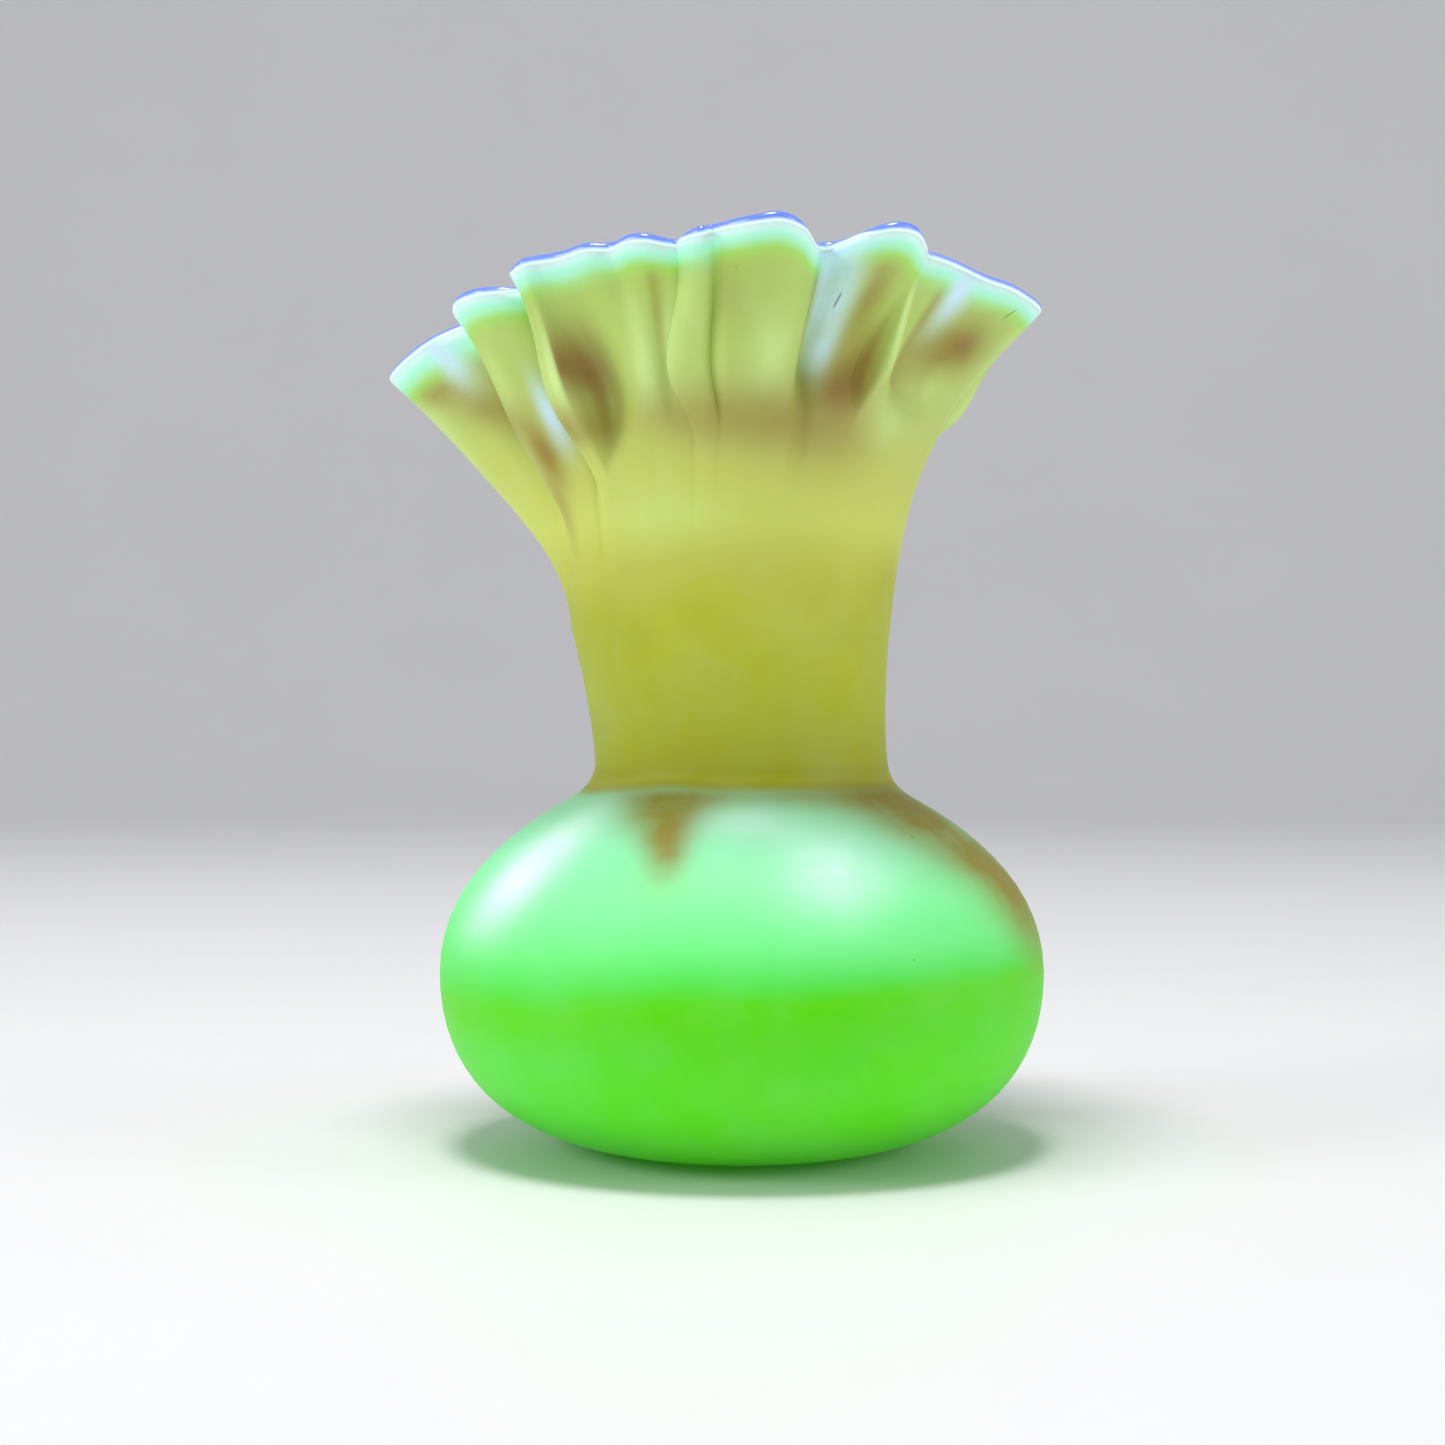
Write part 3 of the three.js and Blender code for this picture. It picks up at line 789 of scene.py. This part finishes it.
def satin_glass():
    """Heat-shaded satin glass with painted light on it: the rim's painted shadow, painted highlights
    on the shoulder and crests, painted shade in the hollows and valleys, painted lamp light in the
    valleys and in the mint runs from its pale lip, and a painted glow.
    """
    n = Nodes("satin_uranium_glass")
    cloud = n.noise(CLOUD_SCALE, 3.0)
    fine_cloud = n.noise(FINE_CLOUD_SCALE, 4.0, roughness=0.6)
    wander = n.math("MULTIPLY", n.math("SUBTRACT", cloud, 0.5), WANDER)
    ragged = n.remap(fine_cloud, *PATCH_RAGGED)
    colour = heat_and_light_shading(n, cloud, wander)
    # Painted shadow of the ruffled rim on the shoulder.
    colour = lay_patch(n, colour, "rim_shadow", RIM_SHADOW_AMBER, ragged)
    # Painted highlights on the shoulder.
    colour = lay_patch(n, colour, "shoulder_highlight", HIGHLIGHT_AND_HAZE_WHITE, ragged)
    # Painted highlights on the crests of the ruffle.
    colour = lay_patch(n, colour, "pale", CREST_HIGHLIGHT, ragged, 0.85)
    # Painted shade in the valleys and a painted highlight on the crests, by how far the wall stands
    # out.
    standing = n.attribute("relief")
    colour = n.mix(n.remap(standing, *SHADED_VALLEYS), colour, SHADE_BROWN)
    colour = n.mix(n.remap(standing, *LIT_CRESTS), colour, CREST_HIGHLIGHT)
    # Painted shade in the recesses under the lobes.
    colour = lay_patch(n, colour, "recess_shade", SHADE_BROWN, ragged, 0.9)
    flare = n.math("ADD", n.attribute("flare"), n.math("MULTIPLY", wander, FLARE_WANDER))
    # Towards the lip: mint, partly the edge's own paler tone and partly painted light, then a painted
    # white highlight at the edge.
    colour = n.mix(n.remap(flare, *GREEN_ZONE), colour, LIP_GREEN)
    colour = n.mix(n.remap(flare, *MINT_ZONE), colour, LIP_MINT)
    colour = lay_patch(n, colour, "lit_lip_mint", LIP_MINT, ragged)
    colour = n.mix(n.remap(flare, *WHITE_ZONE), colour, LIP_WHITE)
    # Painted lamp light, lavender white, on the floors of the valleys.
    colour = lay_patch(n, colour, "valley_highlight", LAVENDER_HIGHLIGHT, ragged)
    colour = n.mix(n.remap(fine_cloud, *HAZE), colour, HIGHLIGHT_AND_HAZE_WHITE)
    colour = n.mix(marks(n), colour, SPECK)
    grain = n.add("ShaderNodeBump")
    grain.inputs["Strength"].default_value = 0.15
    grain.inputs["Distance"].default_value = GRAIN_DEPTH
    n.join(n.noise(GRAIN_SCALE, 2.0), grain.inputs["Height"])
    return n.finish(
        {
            "Base Color": colour,
            # Painted glow: the glass glows in its own colours, as uranium glass does under a UV lamp.
            "Emission Color": colour,
            "Emission Strength": 0.12,
            "Specular IOR Level": 0.18,
            "Sheen Weight": 0.05,
            "Sheen Roughness": 0.3,
            "Sheen Tint": SHEEN_TINT,
            "Roughness": n.remap(fine_cloud, *SATIN_ROUGHNESS),
            "Normal": grain.outputs[0],
        }
    )


def marks(n):
    """How strongly the specks and scratches cover the wall."""
    total = 0.0
    for azimuth, height, radius, half_length, turn in MARKS:
        place = outward(azimuth) * radius + (0, 0, height)
        size = (MARK_HALF_WIDTH, MARK_HALF_DEPTH, half_length)
        mapping = n.add("ShaderNodeMapping", vector_type="TEXTURE")
        mapping.inputs["Location"].default_value = place * MM
        mapping.inputs["Rotation"].default_value = (0, math.radians(turn), math.radians(azimuth - 90))
        mapping.inputs["Scale"].default_value = [value * MM for value in size]
        n.join(n.position(), mapping.inputs["Vector"])
        length = n.add("ShaderNodeVectorMath", operation="LENGTH")
        n.join(mapping.outputs[0], length.inputs[0])
        mark = n.remap(length.outputs["Value"], *MARK_EDGE)
        total = n.math("MAXIMUM", total, mark)
    return total


def polished_lip():
    """The fire-polished edge: a painted white highlight on the arris outside, then a painted blue
    violet reflection of the lamp over the top, and a painted glow.
    """
    n = Nodes("polished_lip_glass")
    colour = n.ramp(n.attribute("across"), LIP_SHADES)
    return n.finish(
        {
            "Base Color": colour,
            # Painted glow, as on the wall.
            "Emission Color": colour,
            "Emission Strength": 0.2,
            "Roughness": n.remap(n.noise(300, 3.0), *LIP_ROUGHNESS),
            "Coat Weight": 0.4,
            "Coat Roughness": 0.1,
        }
    )


def studio_floor():
    n = Nodes("pale_floor")
    return n.finish({"Base Color": n.mix(n.noise(9, 3.0), *FLOOR_SHADES), "Roughness": 0.55})


def make_camera():
    """Level with the neck's foot, close in front of the vase and a little to its left."""
    camera = bpy.data.cameras.new("camera")
    camera.sensor_width = 36
    camera.lens = 59.8
    camera.clip_start = 0.01
    obj = bpy.data.objects.new("camera", camera)
    obj.location = (-0.00207, -0.261, 0.0457)
    obj.rotation_euler = (math.pi / 2, 0, 0)
    bpy.context.scene.collection.objects.link(obj)
    bpy.context.scene.camera = obj


def make_floor():
    """A round sweep: a flat floor that turns up into a wall all round."""
    turn = np.linspace(0, math.pi / 2, SWEEP_STEPS + 1)
    bend = [(SWEEP_FLAT + SWEEP_BEND * math.sin(t), SWEEP_BEND * (1 - math.cos(t))) for t in turn]
    profile = [(SWEEP_MIDDLE, 0.0), *bend, (SWEEP_FLAT + SWEEP_BEND, SWEEP_WALL)]
    angle = np.linspace(0, 2 * math.pi, SWEEP_ROUNDS, endpoint=False)
    spoke = np.stack([np.cos(angle), np.sin(angle), 0 * angle], 1)
    radius, height = np.array(profile).T
    points = spoke[:, None] * radius[None, :, None]
    points[..., 2] = height
    rows = len(profile)
    faces = [face[::-1] for face in strip_faces(SWEEP_ROUNDS, rows)]
    faces.append([i * rows for i in range(SWEEP_ROUNDS)])
    floor = make_mesh("floor", points.reshape(-1, 3) / MM, faces)
    floor.data.materials.append(studio_floor())


def area_light(name, place, aim, size, power):
    light = bpy.data.lights.new(name, "AREA")
    light.shape = "DISK"
    light.size = size
    light.energy = power
    obj = bpy.data.objects.new(name, light)
    obj.location = place
    obj.rotation_euler = (Vector(aim) - Vector(place)).to_track_quat("-Z", "Y").to_euler()
    bpy.context.scene.collection.objects.link(obj)


def make_lights():
    """A soft light above, one at each side, one on the backdrop, and a pale world."""
    middle = (0, 0, 0.05)
    area_light("top", (-0.05, -0.12, 0.8), middle, 0.25, 5.2)
    area_light("left", (-0.8, -0.35, 0.45), middle, 0.4, 2.8)
    area_light("right", (0.8, -0.3, 0.35), middle, 0.4, 1.7)
    area_light("backdrop", (0, 0.4, 1.5), (0, 1.5, 0.9), 0.8, 3.5)
    world = bpy.data.worlds.new("studio")
    world.use_nodes = True
    background = world.node_tree.nodes["Background"]
    background.inputs["Color"].default_value = linear(232, 233, 236)
    background.inputs["Strength"].default_value = 0.45
    bpy.context.scene.world = world
    bpy.context.scene.view_settings.view_transform = "Standard"


make_camera()
make_floor()
make_lights()

wall, lip = build_glass()
wall.data.materials.append(satin_glass())
lip.data.materials.append(polished_lip())
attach(wall, "root")
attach(lip, "root")
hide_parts("foot", "bowl", "shoulder", "neck", "ruffled_mouth")
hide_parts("lip")
